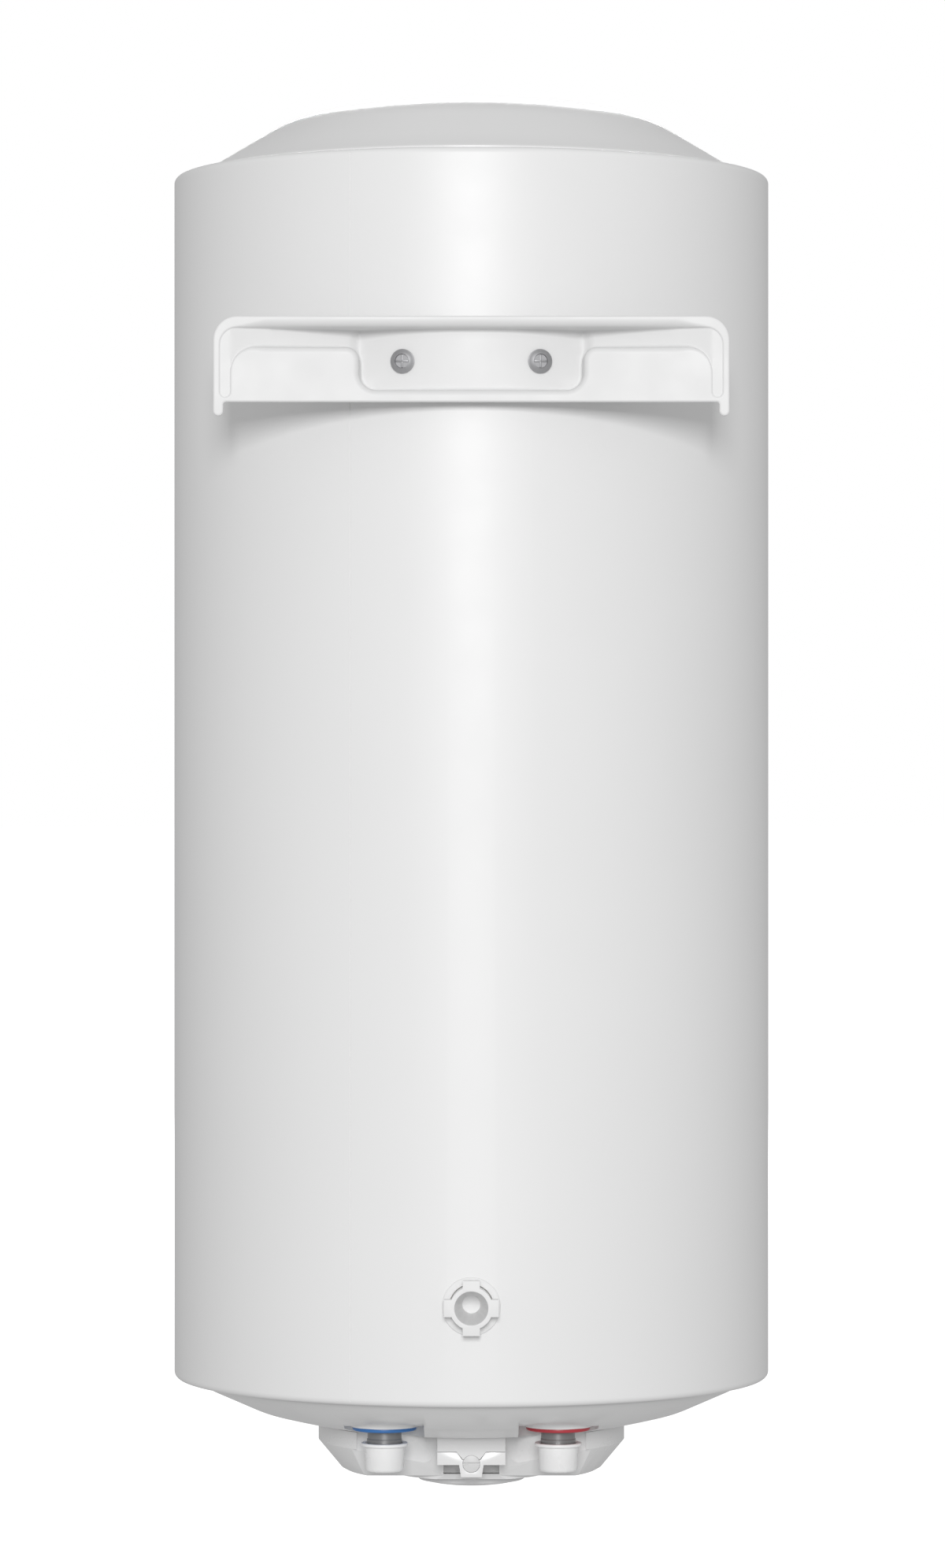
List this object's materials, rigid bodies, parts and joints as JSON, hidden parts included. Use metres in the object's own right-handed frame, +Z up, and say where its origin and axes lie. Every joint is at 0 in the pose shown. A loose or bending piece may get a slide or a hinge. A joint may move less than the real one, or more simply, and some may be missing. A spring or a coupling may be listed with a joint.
{
  "type": "tank water heater",
  "caption": "Slim wall-hung electric storage water heater with a round white casing, domed ends, pressed wall bracket and two threaded pipes below.",
  "frame": {"origin": "on the wall plane, at the middle of the wall bracket's bottom strip", "axes": "+Z up along the tank, +Y out of the back of the heater into the wall, +X along the wall"},
  "size_m": [0.3649, 0.378, 0.849],
  "materials": {
    "white_enamel": "gloss",
    "white_plastic": "satin",
    "foam": "matte",
    "tank_steel": "gloss",
    "bare_steel": "satin",
    "rubber_seal": "matte",
    "zinc_steel": "satin",
    "pipe_steel": "satin",
    "inner_plastic": "matte",
    "element_sheath": "satin",
    "brass_terminal": "satin",
    "magnesium": "matte",
    "copper_tube": "satin",
    "switch_plastic": "matte",
    "reset_red": "gloss",
    "lead_brown": "satin",
    "lead_blue": "satin",
    "lead_green": "satin",
    "cover_plastic": "satin",
    "screw_steel": "satin",
    "lamp_amber": "gloss",
    "gland_plastic": "satin",
    "knob_plastic": "satin",
    "collar_blue": "satin",
    "collar_red": "satin",
    "cap_plastic": "satin",
    "bracket_paint": "satin",
    "spacer_plastic": "satin"
  },
  "bodies": {
    "root": {"outer_casing": "white_enamel", "top_cover": "white_plastic", "bottom_cover": "white_plastic", "foam_insulation": "foam", "tank_barrel": "tank_steel", "tank_top_end": "tank_steel", "tank_bottom_end": "tank_steel", "flange_neck": "bare_steel", "flange_gasket": "rubber_seal", "flange_plate": "zinc_steel", "flange_studs": "zinc_steel", "flange_nuts": "zinc_steel", "cold_inlet_pipe": "pipe_steel", "inlet_diffuser": "inner_plastic", "hot_outlet_pipe": "pipe_steel", "heating_element": "element_sheath", "element_terminals": "brass_terminal", "anode_rod": "magnesium", "anode_nut": "zinc_steel", "sensor_pocket": "element_sheath", "capillary_tube": "copper_tube", "thermostat_body": "switch_plastic", "thermostat_bracket": "zinc_steel", "thermal_cutout": "switch_plastic", "terminal_block": "switch_plastic", "earth_stud": "brass_terminal", "live_lead": "lead_brown", "neutral_lead": "lead_blue", "earth_lead": "lead_green", "electrical_cover": "cover_plastic", "cover_screw": "screw_steel", "pilot_lamp": "lamp_amber", "lamp_holder": "inner_plastic", "cable_gland": "gland_plastic", "cold_collar": "collar_blue", "hot_collar": "collar_red", "wall_bracket": "bracket_paint", "bracket_screws": "screw_steel", "bracket_posts": "bare_steel", "spacer_seat": "spacer_plastic", "spacer_bush": "spacer_plastic"},
    "temperature_knob": {"temperature_knob": "knob_plastic", "knob_spindle": "zinc_steel"},
    "reset_button": {"reset_button": "reset_red"},
    "cold_thread_cap": {"cold_thread_cap": "cap_plastic"},
    "hot_thread_cap": {"hot_thread_cap": "cap_plastic"},
    "rear_spacer": {"rear_spacer": "spacer_plastic"}
  },
  "joints": [
    {"name": "knob_turn", "type": "hinge", "parent": "root", "child": "temperature_knob", "pos_m": [0, -0.1955, -0.6555], "axis": [0, 0, -1], "range_deg": [0, 270]},
    {"name": "reset_press", "type": "slide", "parent": "root", "child": "reset_button", "axis": [0, 0, 1], "range_m": [0, 0.0015], "stiffness_N_per_m": 2000, "springref_m": -0.0005},
    {"name": "cold_cap_pull", "type": "slide", "parent": "root", "child": "cold_thread_cap", "axis": [0, 0, -1], "range_m": [0, 0.06]},
    {"name": "hot_cap_pull", "type": "slide", "parent": "root", "child": "hot_thread_cap", "axis": [0, 0, -1], "range_m": [0, 0.06]},
    {"name": "spacer_adjust", "type": "slide", "parent": "root", "child": "rear_spacer", "axis": [0, 1, 0], "range_m": [-0.005, 0.015]}
  ]
}
